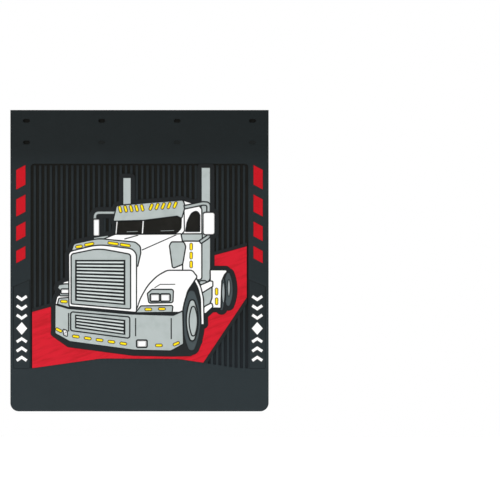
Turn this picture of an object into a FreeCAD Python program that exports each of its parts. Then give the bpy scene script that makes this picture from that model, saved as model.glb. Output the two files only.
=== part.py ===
"""Truck mud flap: a rubber sheet that hangs from a bolted band, with a picture in coloured rubber inlays.

Frame, in millimetres: the origin is on the back face, at the centre of the upper row of bolt slots.
+Z is up, +X is to the right when looking at the picture, and the picture faces -Y. The sheet bends below
the band that is bolted up and again above its plain skirt, so it is made as three plates that turn on
each other.
"""

import FreeCAD
import Part
import math
import os

Vector = FreeCAD.Vector

# ---- Driving dimensions --------------------------------------------------------------------------
INCH = 25.4
WIDTH = 24 * INCH
HEIGHT = 28 * INCH
THICK = 8.0  # plain sheet
SLOT_ROW_DROP = 1 * INCH  # top edge to the upper slot row
SLOT_ROW_PITCH = 2 * INCH
SLOT_PITCH = 7 * INCH
SLOT_LENGTH = 16.0
SLOT_WIDTH = 8.8
SLOTS_PER_ROW = 4
KNOCKOUT_DEPTH = 1.5  # blind slot mark in the lower row
SKIRT_CORNER = 20.0

TOP = SLOT_ROW_DROP
BOTTOM = TOP - HEIGHT
HALF_WIDTH = WIDTH / 2

# Ribbed field
FIELD_MARGIN = 48.1  # side edge to the ribs
FIELD_DROP = 5 * INCH  # top edge to the ribs
FIELD_HALF = HALF_WIDTH - FIELD_MARGIN
FIELD_TOP = TOP - FIELD_DROP
FIELD_END = TOP - 24 * INCH  # where the field meets its side margins
ARCH_RISE = 22.0  # the field's lower edge is higher by this in the middle
FIELD_CORNER = 8.0
GROOVE_COUNT = 41
GROOVE_WIDTH = 6.8
HEAD_GROOVE = 3.6  # groove along the top of the field
GROOVE_DEPTH = 2.5

# Flex lines: the sheet bends here, on an axis in the middle of its thickness
UPPER_FLEX_Z = -78.0
LOWER_FLEX_Z = -612.0
FLEX_Y = -THICK / 2
NOSE_RADIUS = THICK / 2
NOSE_GAP = 0.3
RELIEF_ANGLE = math.radians(43)  # half angle left on the socket, so that the plates can fold

# Depths of the relief, as distances in front of the back face
POCKET_FLOOR = 5.5  # floor of the pockets in the sheet
MARKER_FRONT = 8.6
LABEL_DEPTH = 0.6
LABEL_MARK_FRONT = 8.8
BACKING_FRONT = 8.8
INLAY_FLOOR = 7.2  # floor of the pockets in the backing
ROAD_FRONT = 9.2
CONTOUR = 2.4  # black line between two inlays
FINE_CONTOUR = 1.0
WIDE_CONTOUR = 3.0
LAMP_CONTOUR = 1.8
CREASE = 2.0  # black line inside an inlay
LOUVRE_FILL = 0.55  # how much of their window the louvres cover
LIGHT_LENGTH = 15.5
LIGHT_WIDTH = 5.4
TRUCK_MARGIN = 10.5  # plain black border round the truck
ROAD_MARGIN = 8.0
ROAD_HALF = 253.4
BACKING_HALF = 254.0
SMALLEST_AREA = 6.0
SMALLEST_WIDTH = 0.9

# Side strips
STRIP_CENTRE = HALF_WIDTH - 24.8
MARKER_WIDTH = 22.4
MARKER_SLANT = 12.1
MARKER_TOP = -103.8  # inner top corner of the first marker
MARKER_HEIGHTS = (47.0, 41.2, 35.3, 29.5)
MARKER_GAP = 22.6
LABEL_WIDTH = 38.4
LABEL_CENTRE = HALF_WIDTH - 26.9
LABEL_TOP = -375.0
LABEL_SLANT = 16.0
CHEVRON_HALF = 12.0
CHEVRON_RISE = 8.0
CHEVRON_BAR = 7.2
CHEVRON_STEP = 22.0
CHEVRONS_EACH_WAY = 3
DIAMOND_HALF = (13.5, 15.5)
LABEL_MARK_CENTRE_Z = -490.0


# ---- Flat outlines in the XZ plane ---------------------------------------------------------------
def point(x, z, depth=0.0):
    """A point this far in front of the back face."""
    return Vector(x, -depth, z)


def outline(corners):
    """A flat face from corners (x, z) or (x, z, radius), where a radius rounds that corner."""
    starts, ends, middles = [], [], []
    count = len(corners)
    for i, corner in enumerate(corners):
        here = Vector(corner[0], 0, corner[1])
        before = Vector(corners[i - 1][0], 0, corners[i - 1][1]) - here
        after = Vector(corners[(i + 1) % count][0], 0, corners[(i + 1) % count][1]) - here
        radius = corner[2] if len(corner) > 2 else 0.0
        if radius <= 0:
            starts.append(here)
            ends.append(here)
            middles.append(None)
            continue
        half_angle = before.getAngle(after) / 2
        reach = min(radius / math.tan(half_angle), 0.49 * before.Length, 0.49 * after.Length)
        radius = reach * math.tan(half_angle)
        before.normalize()
        after.normalize()
        inwards = before + after
        inwards.normalize()
        starts.append(here + before * reach)
        ends.append(here + after * reach)
        middles.append(here + inwards * (radius / math.sin(half_angle) - radius))
    edges = []
    for i in range(count):
        if middles[i] is not None:
            edges.append(Part.Arc(starts[i], middles[i], ends[i]).toShape())
        following = starts[(i + 1) % count]
        if ends[i].distanceToPoint(following) > 1e-6:
            edges.append(Part.LineSegment(ends[i], following).toShape())
    return Part.Face(Part.Wire(edges))


def rectangle(x0, z0, x1, z1, radius=0.0):
    """An upright rectangle with rounded corners."""
    return outline([(x0, z0, radius), (x1, z0, radius), (x1, z1, radius), (x0, z1, radius)])


def pill(x, z, length, width, angle=0.0):
    """A bar with round ends, centred at (x, z) and turned by angle degrees."""
    along = Vector(math.cos(math.radians(angle)), 0, math.sin(math.radians(angle)))
    across = Vector(-along.z, 0, along.x) * (width / 2)
    centre = Vector(x, 0, z)
    reach = along * (length / 2 - width / 2)
    tip = along * (length / 2)
    a, b = centre - reach + across, centre + reach + across
    c, d = centre + reach - across, centre - reach - across
    edges = [
        Part.LineSegment(a, b).toShape(),
        Part.Arc(b, centre + tip, c).toShape(),
        Part.LineSegment(c, d).toShape(),
        Part.Arc(d, centre - tip, a).toShape(),
    ]
    return Part.Face(Part.Wire(edges))


def bar(path, width, radius=0.0):
    """A bar of constant width along a bent line of (x, z) points, with square ends."""
    points = [Vector(x, 0, z) for x, z in path]
    left, right = [], []
    for i, here in enumerate(points):
        into = (here - points[i - 1]) if i else (points[1] - here)
        out = (points[i + 1] - here) if i + 1 < len(points) else (here - points[i - 1])
        into.normalize()
        out.normalize()
        side_in, side_out = Vector(-into.z, 0, into.x), Vector(-out.z, 0, out.x)
        mitre = side_in + side_out
        mitre = mitre * (width / mitre.dot(mitre))
        turn = into.x * out.z - into.z * out.x
        at_bend = 0 < i < len(points) - 1 and radius > 0
        inner, outer = max(radius - width / 2, 0.3), radius + width / 2
        if turn <= 0:
            inner, outer = outer, inner
        left.append((here.x + mitre.x, here.z + mitre.z, inner if at_bend else 0))
        right.append((here.x - mitre.x, here.z - mitre.z, outer if at_bend else 0))
    return outline(left + right[::-1])


def oval(x, z, half_width, half_height):
    """An upright oval of four tangent arcs, near an ellipse."""
    end = 0.55 * half_width * (half_width / half_height) ** 0.25
    side = ((half_height - end) ** 2 + half_width**2 - end**2) / (2 * (half_width - end))
    toward = Vector(side - half_width, 0, half_height - end)
    toward.normalize()
    joins = {}
    for sx in (-1, 1):
        for sz in (-1, 1):
            unit = Vector(toward.x * sx, 0, toward.z * sz)
            joins[sx, sz] = Vector(x, 0, z + sz * (half_height - end)) + unit * end
    edges = [
        Part.Arc(joins[-1, 1], Vector(x, 0, z + half_height), joins[1, 1]).toShape(),
        Part.Arc(joins[1, 1], Vector(x + half_width, 0, z), joins[1, -1]).toShape(),
        Part.Arc(joins[1, -1], Vector(x, 0, z - half_height), joins[-1, -1]).toShape(),
        Part.Arc(joins[-1, -1], Vector(x - half_width, 0, z), joins[-1, 1]).toShape(),
    ]
    return Part.Face(Part.Wire(edges))


def mirrored(face):
    """The same face on the other side of the centreline."""
    return face.mirror(Vector(0, 0, 0), Vector(1, 0, 0))


def grown(face, margin):
    """The face made larger by margin all round, with round corners."""
    return face.makeOffset2D(margin)


def apart(a, b):
    """True if the boxes of two shapes don't meet."""
    p, q = a.BoundBox, b.BoundBox
    return p.XMax < q.XMin or q.XMax < p.XMin or p.ZMax < q.ZMin or q.ZMax < p.ZMin


def without(face, others):
    """The face less every other shape that reaches it."""
    near = [o for o in others if not apart(face, o)]
    return face.cut(near) if near else face


def sound_faces(shape):
    """The faces of a flat shape that are large and wide enough to be moulded."""
    found = []
    for face in shape.removeSplitter().Faces:
        width = 2 * face.Area / face.Length
        if face.Area >= SMALLEST_AREA and width >= SMALLEST_WIDTH:
            found.append(face)
    return found


def joined(faces, within=None):
    """One flat face from faces that overlap, kept within another face if there is one."""
    pads = [prism(face, 0, 1) for face in faces]
    slab = pads[0].multiFuse(pads[1:]).removeSplitter()
    if within:
        slab = slab.common(prism(within, 0, 1))
    backs = [face for face in slab.Faces if face.BoundBox.YMin > -1e-6]
    return max(backs, key=lambda face: face.Area)


def prism(face, back, front):
    """A solid with this outline between two distances in front of the back face."""
    flat = face.copy()
    flat.translate(Vector(0, -back, 0))
    solid = flat.extrude(Vector(0, back - front, 0))
    return solid if solid.Volume > 0 else solid.reversed()


def save(node, solids):
    """Writes a node's solids to its STEP file."""
    Part.makeCompound(solids).exportStep(f"parts/{node}.step")


# ---- The sheet: three plates ---------------------------------------------------------------------
def plate_profile(top_z, bottom_z, socket_on_top, nose_below):
    """The side view of a plate, in the YZ plane: a socket round the flex axis above, a round nose below."""
    front, back = -THICK, 0.0
    reach = NOSE_RADIUS + NOSE_GAP

    def at(y, z):
        return Vector(0, y, z)

    edges = []
    if socket_on_top:
        shoulder = top_z - NOSE_RADIUS / math.tan(RELIEF_ANGLE)
        lip_y, lip_z = reach * math.sin(RELIEF_ANGLE), top_z - reach * math.cos(RELIEF_ANGLE)
        front_top, back_top = at(front, shoulder), at(back, shoulder)
        front_lip, back_lip = at(FLEX_Y - lip_y, lip_z), at(FLEX_Y + lip_y, lip_z)
        edges.append(Part.LineSegment(front_top, front_lip).toShape())
        edges.append(Part.Arc(front_lip, at(FLEX_Y, top_z - reach), back_lip).toShape())
        edges.append(Part.LineSegment(back_lip, back_top).toShape())
    else:
        front_top, back_top = at(front, top_z), at(back, top_z)
        edges.append(Part.LineSegment(front_top, back_top).toShape())
    front_end, back_end = at(front, bottom_z), at(back, bottom_z)
    edges.append(Part.LineSegment(back_top, back_end).toShape())
    if nose_below:
        edges.append(Part.Arc(back_end, at(FLEX_Y, bottom_z - NOSE_RADIUS), front_end).toShape())
    else:
        edges.append(Part.LineSegment(back_end, front_end).toShape())
    edges.append(Part.LineSegment(front_end, front_top).toShape())
    return Part.Face(Part.Wire(edges))


def plate(*profile):
    """A plate of the flap's full width with this side view."""
    face = plate_profile(*profile)
    face.translate(Vector(-HALF_WIDTH, 0, 0))
    solid = face.extrude(Vector(WIDTH, 0, 0))
    return solid if solid.Volume > 0 else solid.reversed()


def slot_centres():
    """The x of each slot in a row."""
    return [(i - (SLOTS_PER_ROW - 1) / 2) * SLOT_PITCH for i in range(SLOTS_PER_ROW)]


def mounting_band():
    """The band that is bolted up: four slots, one more below the outer one, and three blind marks."""
    band = plate(TOP, UPPER_FLEX_Z, False, True)
    lower_row = -SLOT_ROW_PITCH
    cuts = [prism(pill(x, 0, SLOT_LENGTH, SLOT_WIDTH), -1, THICK + 1) for x in slot_centres()]
    outer = slot_centres()[0]
    cuts.append(prism(pill(outer, lower_row, SLOT_LENGTH, SLOT_WIDTH), -1, THICK + 1))
    for x in slot_centres()[1:]:
        mark = pill(x, lower_row, SLOT_LENGTH, SLOT_WIDTH)
        cuts.append(prism(mark, THICK - KNOCKOUT_DEPTH, THICK + 1))
    return band.cut(cuts)


def lower_skirt():
    """The plain lower part, with rounded corners."""
    skirt = plate(LOWER_FLEX_Z, BOTTOM, True, False)
    corners = [
        (-HALF_WIDTH, LOWER_FLEX_Z),
        (HALF_WIDTH, LOWER_FLEX_Z),
        (HALF_WIDTH, BOTTOM, SKIRT_CORNER),
        (-HALF_WIDTH, BOTTOM, SKIRT_CORNER),
    ]
    return skirt.common(prism(outline(corners), -1, THICK + 1))


# ---- Ribbed field, road, markers and labels ------------------------------------------------------
def field_face(half):
    """The whole field, ribs and road together, with this half width and an arched lower edge."""
    top = [(-half, FIELD_TOP, FIELD_CORNER), (half, FIELD_TOP, FIELD_CORNER)]
    lower_edge = [
        (half, FIELD_END),
        (232, FIELD_END + 1, 60),
        (90, FIELD_END + ARCH_RISE, 160),
        (-90, FIELD_END + ARCH_RISE + 1, 160),
        (-half, FIELD_END),
    ]
    return outline(top + lower_edge)


def road_face():
    """The ground that the truck stands on, before the truck is taken out of it."""
    ground = [(-FIELD_HALF, -452), (-196, -435), (120, -430), (140, -327.5), (FIELD_HALF, -295)]
    ground += [(FIELD_HALF, -412), (118, -620), (-FIELD_HALF, -620)]
    return outline(ground).common(field_face(ROAD_HALF))


def marker_faces():
    """The four slanted markers of the left strip, from the top down."""
    faces = []
    inner_top = MARKER_TOP
    inner, outer = -STRIP_CENTRE + MARKER_WIDTH / 2, -STRIP_CENTRE - MARKER_WIDTH / 2
    for height in MARKER_HEIGHTS:
        faces.append(
            outline(
                [
                    (inner, inner_top),
                    (inner, inner_top - height),
                    (outer, inner_top - height - MARKER_SLANT),
                    (outer, inner_top - MARKER_SLANT),
                ]
            )
        )
        inner_top -= height + MARKER_GAP
    return faces


def label_face():
    """The shallow recess at the foot of the left strip."""
    inner, outer = -LABEL_CENTRE + LABEL_WIDTH / 2, -LABEL_CENTRE - LABEL_WIDTH / 2
    outer_top = LABEL_TOP - LABEL_SLANT
    return outline([(inner, LABEL_TOP), (inner, FIELD_END), (outer, FIELD_END), (outer, outer_top)])


def label_mark_faces():
    """A diamond with chevrons above and below that point to it."""
    x, z = -LABEL_CENTRE, LABEL_MARK_CENTRE_Z
    across, up = DIAMOND_HALF
    faces = [outline([(x - across, z), (x, z + up), (x + across, z), (x, z - up)])]
    for side in (1, -1):
        for i in range(CHEVRONS_EACH_WAY):
            tip = z + side * (CHEVRON_STEP * (i + 1) + 2)
            end = tip + side * CHEVRON_RISE
            faces.append(bar([(x - CHEVRON_HALF, end), (x, tip), (x + CHEVRON_HALF, end)], CHEVRON_BAR))
    return faces


def groove_faces(kept_plain):
    """The grooves between the ribs, less the areas that stay plain."""
    pitch = (2 * FIELD_HALF - GROOVE_WIDTH) / (GROOVE_COUNT - 1)
    field = field_face(FIELD_HALF)
    head = rectangle(-FIELD_HALF, FIELD_TOP - HEAD_GROOVE, FIELD_HALF, FIELD_TOP).common(field)
    faces = sound_faces(without(head, kept_plain))
    for i in range(GROOVE_COUNT):
        x = -FIELD_HALF + i * pitch
        strip = rectangle(x, FIELD_END - ARCH_RISE, x + GROOVE_WIDTH, FIELD_TOP).common(field)
        faces += sound_faces(without(strip, kept_plain))
    return faces


# ---- The picture ---------------------------------------------------------------------------------
class Picture:
    """Inlays laid over each other from the back to the front, where a later one cuts the earlier ones."""

    def __init__(self):
        self.layers = []

    def lay(self, node, front, faces, contour=CONTOUR):
        """Adds faces to a node. front is the distance of their front in front of the back face."""
        for face in faces:
            self.layers.append((node, front, face, contour))

    def cut(self, faces):
        """Opens the layers so far, so that the black backing shows."""
        for face in faces:
            self.layers.append((None, 0.0, face, 0.0))

    def silhouette(self):
        """The outline of everything that was laid and of the ground under it, with its black border."""
        faces = [face for node, _, face, _ in self.layers if node] + [ground_shadow()]
        return joined([grown(face, TRUCK_MARGIN) for face in faces])

    def inlays(self):
        """{node: its solids}, each with what shows of its layers."""
        masks = [grown(face, contour) if contour else face for _, _, face, contour in self.layers]
        found = {}
        for i, (node, front, face, _) in enumerate(self.layers):
            if not node:
                continue
            for seen in sound_faces(without(face, masks[i + 1 :])):
                found.setdefault(node, []).append(prism(seen, INLAY_FLOOR, front))
        return found


def louvres(sides, tops, bottoms, count):
    """Bars that fill a window. sides, tops and bottoms are (left, right), as it may narrow to one side."""
    faces = []
    for i in range(count):
        corners = []
        for x, top, bottom in zip(sides, tops, bottoms):
            pitch = (top - bottom) / count
            upper = top - pitch * (i + (1 - LOUVRE_FILL) / 2)
            corners.append([(x, upper), (x, upper - pitch * LOUVRE_FILL)])
        faces.append(outline(corners[0] + corners[1][::-1]))
    return faces


def light(x, z, angle=0.0, length=LIGHT_LENGTH):
    """A marker light: a small bar with round ends."""
    return pill(x, z, length, LIGHT_WIDTH, angle)


def draw_stacks(picture):
    """The exhaust stacks behind the cab, and the far mirror on its tube arm."""
    picture.lay("far_stack", 9.8, [rectangle(-38.2, -215, -20.5, -135)])
    near = [(146.6, -111), (166.5, -111), (166.5, -381, 16), (139, -381, 4), (146.6, -360)]
    picture.lay("near_stack", 9.8, [outline(near)])
    arm = [(-56, -217), (-105, -217), (-105, -238)]
    foot = [(-107, -279.5), (-74, -274.5)]
    picture.lay("mirror_arms", 9.9, [bar(arm, 6, 9), bar(foot, 6.5)])
    picture.lay("far_mirror", 10.4, [rectangle(-108, -271, -95, -233, 2)])


def draw_rear(picture):
    """What shows behind the front wheel: tank, steps, deck box and rear tyres."""
    picture.lay("rear_tyres", 9.6, [oval(209.5, -398, 11, 39.5), oval(193.5, -403.5, 8.8, 43.5)])
    picture.lay("rear_rims", 9.9, [oval(211, -394.5, 2.8, 18.5), oval(198, -406, 3, 23)], FINE_CONTOUR)
    deck = [(168, -353), (209, -353, 3), (200, -362, 6), (193, -378, 20), (191, -441, 1), (168, -441)]
    picture.lay("deck_box", 10.0, [outline(deck)])
    picture.lay("deck_box_lights", 10.5, [light(182, -403, 90), light(182, -426, 90)], FINE_CONTOUR)
    tank = [(143, -391), (170, -388), (170, -418, 14), (163, -437, 10), (147, -442)]
    picture.lay("fuel_tank", 9.8, [pill(150, -382, 15, 7), outline(tank)])
    upper_step = [(142, -390), (167, -379, 2), (172, -380, 2), (172, -390, 1), (148, -405), (142, -402)]
    lower_step = [(149, -446), (156, -438, 2), (170, -431, 2), (172, -439, 1), (156, -454), (151, -452)]
    picture.lay("side_steps", 10.2, [outline(upper_step), outline(lower_step)])


def draw_cab(picture):
    """The cab: roof, side panel with its window, the windscreen frame with two panes, and the visor."""
    roof = [(90, -188), (104, -189), (126, -196, 4), (118, -212), (96, -212)]
    side = [(104, -211), (121, -200, 6), (139, -200, 5), (146, -209, 6), (146, -374, 5)]
    side += [(119, -374), (100, -352)]
    picture.lay("cab_side", 10.0, [outline(roof), outline(side)])
    window = [(110, -260), (141, -260), (141, -223, 4), (136, -214, 7), (124, -218, 14), (114, -239, 30)]
    picture.lay("door_window", 9.7, [outline(window)])
    picture.lay("cab_belt", 10.4, [rectangle(98, -283, 147, -268)])
    picture.lay("cab_side_lights", 10.5, [light(122, z, 90) for z in (-297, -318, -339)], FINE_CONTOUR)
    frame = [(-57, -271), (-53, -225), (104, -215), (105, -260, 6), (97, -269)]
    picture.lay("windscreen_frame", 10.1, [outline(frame)])
    left_pane = [(-49, -225), (7, -225), (4.5, -266), (-53, -266)]
    right_pane = [(12.5, -225), (92, -218), (99, -228), (98, -254, 10), (88, -265, 10), (9.5, -266)]
    picture.lay("windscreen_panes", 9.6, [outline(left_pane), outline(right_pane)], FINE_CONTOUR)
    wipers = [bar([(-30, -262), (-4, -261)], 1.6), bar([(50, -260), (82, -259)], 1.6)]
    picture.lay("wipers", 9.9, wipers, 0.0)
    visor = [(-53, -201, 4), (102, -188, 5), (107, -202, 4), (99, -229, 2), (89, -224, 3)]
    visor += [(10, -234, 60), (-61, -236, 2)]
    picture.lay("visor", 10.8, [outline(visor)])
    lights = [light(-45.5 + 13 * i, -209 + 0.9 * i, 106) for i in range(5)]
    lights += [light(27.5 + 14.2 * i, -203.5 + 1.2 * i, 68) for i in range(5)]
    picture.lay("visor_lights", 11.3, lights, FINE_CONTOUR)


def draw_near_mirror(picture):
    """The near mirror, on tube arms that pass in front of the cab."""
    arm = [(107, -204), (150, -195), (163, -196), (163, -222)]
    foot = [(163, -262), (163, -273), (144, -286)]
    picture.lay("mirror_arms", 10.3, [bar(arm, 6, 10), bar(foot, 6, 6)])
    picture.lay("near_mirror", 10.7, [rectangle(151, -268, 177, -217, 5)])


def draw_hood(picture):
    """The hood with its creases, the air cleaner, and the nose band over the grille."""
    hood = [(-86, -281), (-57, -269), (97, -268), (100, -283), (101, -360), (60, -380)]
    hood += [(5, -452), (-12, -452), (-12, -330)]
    picture.lay("hood", 10.2, [outline(hood)])
    picture.cut([bar([(-35, -279), (-3, -270)], CREASE), bar([(6, -305), (87, -269)], CREASE)])
    cleaner = [(72, -295, 5), (76, -287, 4), (104, -287, 5), (108, -297, 8), (101, -338, 4), (79, -347, 3)]
    picture.lay("air_cleaner", 10.7, [outline(cleaner)])
    band = [(-160, -310), (-154, -291, 8), (-97, -279, 90), (-10, -287.5, 14), (1, -297, 10)]
    band += [(2, -312, 20), (-5, -342), (-150, -345)]
    picture.lay("nose_band", 10.5, [outline(band)])
    lamps = [(-142.5, -297, 8, 15), (-118.5, -291.5, 11, 21.5)]
    lamps += [(-62, -289.5, -8, 24), (-33.5, -293.5, -9, 23.5)]
    picture.lay("nose_lights", 11.0, [light(*lamp) for lamp in lamps], FINE_CONTOUR)


def draw_far_corner(picture):
    """The lamp and fender that show past the grille, on the truck's far side."""
    crown = [(-182, -388), (-178, -381, 4), (-158, -376), (-158, -388)]
    side = [(-199, -438), (-194, -416, 6), (-186, -410, 4), (-166, -413), (-166, -440)]
    picture.lay("far_fender", 10.0, [outline(crown), outline(side)])
    housing = [(-192, -394, 1), (-189, -388, 2), (-176, -386), (-158, -386), (-158, -412), (-187, -412, 1)]
    picture.lay("far_lamp_housing", 10.3, [outline(housing + [(-186, -400)])])
    picture.lay("far_lamp_lens", 10.6, [rectangle(-184, -407, -160, -398, 2)])


def draw_fender(picture):
    """The near fender with its twin headlamp, the turn signals below it, and the wheel flare."""
    flare = [(128, -368), (141, -392), (147.5, -420), (149, -480)]
    picture.lay("wheel_flare", 10.4, [bar(flare, 5, 60)])
    fender = [(-7, -451), (3, -420, 90), (20, -390, 90), (42, -367, 90), (66, -354, 20), (124, -354, 9)]
    fender += [(135, -368, 4), (112, -402, 50), (101, -451)]
    picture.lay("near_fender", 10.6, [outline(fender)])
    picture.cut([bar([(36, -394), (49, -386), (84, -386)], 1.4)])
    housing = [(23, -429, 4), (20, -408, 2), (30, -399, 3), (79, -399, 4), (78, -428, 4)]
    picture.lay("headlamp_housing", 10.9, [outline(housing)])
    lenses = [rectangle(27, -424.5, 46.5, -410, 2), rectangle(51, -424.5, 71, -410, 2)]
    picture.lay("headlamp_lenses", 11.3, lenses, WIDE_CONTOUR)
    strip = [(-7, -452), (4, -438, 3), (78, -437, 3), (76, -451)]
    far_strip = [(-192, -432), (-189, -420, 3), (-166, -418), (-166, -440)]
    picture.lay("signal_strip", 10.8, [outline(strip), outline(far_strip)])
    lamps = [light(21, -445, 0), light(53, -444, 0), light(-178, -426.5, -3)]
    picture.lay("signal_lights", 11.2, lamps, FINE_CONTOUR)


def draw_wheel(picture):
    """The near front wheel, seen three-quarter on."""
    picture.lay("front_tyre", 9.8, [oval(123, -471, 21, 71)])
    picture.lay("wheel_rim", 10.1, [oval(124.5, -471, 12.6, 47)])
    picture.lay("wheel_hub", 10.4, [oval(127, -473, 8.6, 33.5)])


def draw_grille(picture):
    """The grille: a rounded shell, the panel inside it, and louvres over a dark opening."""
    shell = [(-166, -310, 10), (-97, -293, 120), (-8, -304.5, 20), (-8, -451, 3), (-165, -437, 3)]
    picture.lay("grille_shell", 10.9, [outline(shell)])
    panel = [(-160, -315.5, 6), (-96, -302.5, 100), (-22, -316, 6), (-22, -443, 2), (-160, -431, 2)]
    picture.lay("grille_panel", 10.6, [outline(panel)])
    picture.cut([outline([(-151.5, -328.5), (-33.5, -328.5), (-33.5, -434.5), (-151.5, -424.5)])])
    picture.lay("grille_louvres", 10.8, louvres((-148, -37), (-330, -330), (-423.5, -433.5), 12), 0.0)


def draw_bumper(picture):
    """The bumper: a folded face with creases, an intake plate with louvres, fog lamps and marker lights."""
    body = [(-198, -435), (-198, -501, 3), (-164, -520, 14), (-14, -540, 40), (74, -542, 12)]
    body += [(103, -526, 3), (101, -451), (80, -460, 3), (-22, -457, 20), (-168, -444, 20)]
    picture.lay("bumper", 11.0, [outline(body)], WIDE_CONTOUR)
    creases = [(-167, -454, -497), (-9, -466, -508), (75, -466, -515)]
    picture.cut([bar([(x, top), (x, bottom)], CREASE) for x, top, bottom in creases])
    intake = [(-161, -452, 4), (-24, -464, 4), (-24, -512, 4), (-161, -494, 4)]
    picture.lay("intake_plate", 11.0, [outline(intake)])
    picture.cut([outline([(-151.5, -457.5), (-33.5, -470), (-33.5, -505), (-151.5, -489.5)])])
    picture.lay("intake_louvres", 11.2, louvres((-149, -37), (-459, -471), (-488, -504), 4), 0.0)
    markers = [light(-150 + 28 * i, -509 - 4.2 * i, -8) for i in range(5)]
    markers += [light(-190, -494, -28), light(46, -530, 0), light(87, -526, 24)]
    picture.lay("bumper_lights", 11.5, markers, FINE_CONTOUR)
    small_lamp = [(-179.5, -492.5, 1), (-171.5, -495.5, 1), (-170.5, -508, 1), (-178, -505, 1)]
    picture.lay("fog_lamps", 11.4, [outline(small_lamp)], LAMP_CONTOUR)
    picture.lay("fog_lamps", 11.4, [rectangle(-5, -533, 16.5, -519, 1.5)], WIDE_CONTOUR)


def ground_shadow():
    """The black ground under the bumper and the front tyre."""
    patch = [(-199, -500), (-165, -524), (-14, -544), (76, -546), (118, -545), (138, -520)]
    return outline(patch + [(0, -480)])


def draw_truck():
    """The whole picture, from what lies furthest back."""
    picture = Picture()
    draw_stacks(picture)
    draw_rear(picture)
    draw_cab(picture)
    draw_near_mirror(picture)
    draw_hood(picture)
    draw_far_corner(picture)
    draw_fender(picture)
    draw_wheel(picture)
    draw_grille(picture)
    draw_bumper(picture)
    return picture


# ---- Assembly ------------------------------------------------------------------------------------
def picture_panel(backing, markers, labels, marks):
    """The middle plate with its grooves, and a pocket for the backing and each marker."""
    panel = plate(UPPER_FLEX_Z, LOWER_FLEX_Z, True, True)
    cuts = [prism(face, THICK - GROOVE_DEPTH, THICK + 1) for face in groove_faces([backing])]
    cuts += [prism(face, POCKET_FLOOR, THICK + 1) for face in [backing] + markers + marks]
    cuts += [prism(face, THICK - LABEL_DEPTH, THICK + 1) for face in labels]
    return panel.cut(cuts)


def main():
    """Builds every node and writes it out."""
    os.makedirs("parts", exist_ok=True)
    picture = draw_truck()
    truck = picture.silhouette()
    road = max(sound_faces(road_face().cut(truck)), key=lambda face: face.Area)
    backing = joined([truck, grown(road, ROAD_MARGIN)], within=field_face(BACKING_HALF))
    left_markers, left_marks = marker_faces(), label_mark_faces()
    markers = left_markers + [mirrored(f) for f in left_markers]
    labels = [label_face(), mirrored(label_face())]
    marks = left_marks + [mirrored(f) for f in left_marks]

    save("mounting_band", [mounting_band()])
    save("lower_skirt", [lower_skirt()])
    save("picture_panel", [picture_panel(backing, markers, labels, marks)])
    for i, face in enumerate(left_markers, 1):
        save(f"marker_left_{i}", [prism(face, POCKET_FLOOR, MARKER_FRONT)])
        save(f"marker_right_{i}", [prism(mirrored(face), POCKET_FLOOR, MARKER_FRONT)])
    save("label_marks_left", [prism(f, POCKET_FLOOR, LABEL_MARK_FRONT) for f in left_marks])
    save("label_marks_right", [prism(mirrored(f), POCKET_FLOOR, LABEL_MARK_FRONT) for f in left_marks])

    inlays = picture.inlays()
    inlays["road_inlay"] = [prism(road, INLAY_FLOOR, ROAD_FRONT)]
    for node, solids in inlays.items():
        save(node, solids)
    pockets = [solid for solids in inlays.values() for solid in solids]
    save("picture_backing", [prism(backing, POCKET_FLOOR, BACKING_FRONT).cut(pockets)])
    print(len(inlays), "picture nodes with", len(pockets), "inlays")


main()
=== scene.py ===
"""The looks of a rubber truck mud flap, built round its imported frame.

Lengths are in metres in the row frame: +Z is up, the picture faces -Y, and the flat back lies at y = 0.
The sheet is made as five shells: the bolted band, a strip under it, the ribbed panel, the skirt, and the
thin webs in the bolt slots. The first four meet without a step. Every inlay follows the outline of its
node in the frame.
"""

import logging
import math
from dataclasses import dataclass, field
from enum import Enum
from typing import NamedTuple, Sequence, Union

import bpy
import numpy as np
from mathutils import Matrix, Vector


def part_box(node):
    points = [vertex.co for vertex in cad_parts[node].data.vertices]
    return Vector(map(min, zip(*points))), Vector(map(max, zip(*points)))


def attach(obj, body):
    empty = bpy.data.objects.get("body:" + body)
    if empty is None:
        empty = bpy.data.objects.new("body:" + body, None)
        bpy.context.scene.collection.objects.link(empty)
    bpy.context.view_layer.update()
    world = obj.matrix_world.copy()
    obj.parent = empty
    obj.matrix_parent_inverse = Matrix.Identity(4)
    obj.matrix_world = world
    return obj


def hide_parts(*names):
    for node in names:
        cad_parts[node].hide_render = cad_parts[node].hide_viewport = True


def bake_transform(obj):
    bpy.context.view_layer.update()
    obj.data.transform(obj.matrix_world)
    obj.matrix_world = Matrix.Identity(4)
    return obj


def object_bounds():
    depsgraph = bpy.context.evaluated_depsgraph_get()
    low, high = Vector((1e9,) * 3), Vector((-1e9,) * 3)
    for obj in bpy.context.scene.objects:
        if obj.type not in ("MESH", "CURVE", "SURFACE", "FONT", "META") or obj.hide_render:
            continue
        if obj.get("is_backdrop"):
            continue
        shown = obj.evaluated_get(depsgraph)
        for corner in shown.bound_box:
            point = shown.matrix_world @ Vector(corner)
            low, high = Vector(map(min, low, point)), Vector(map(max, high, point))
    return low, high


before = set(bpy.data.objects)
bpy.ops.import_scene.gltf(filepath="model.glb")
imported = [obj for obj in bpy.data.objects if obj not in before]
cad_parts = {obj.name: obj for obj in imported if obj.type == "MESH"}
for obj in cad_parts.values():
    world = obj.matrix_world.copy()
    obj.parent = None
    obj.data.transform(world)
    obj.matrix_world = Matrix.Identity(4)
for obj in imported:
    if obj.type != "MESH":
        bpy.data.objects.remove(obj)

MM = 0.001
SEAM_TOLERANCE = 1e-6
SMALLEST_INSET = 0.1 * MM
LEVEL_TOLERANCE = 0.01 * MM
NEAR_SHARE = 0.45  # how much of a narrow piece's width the inset of one side may take
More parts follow.
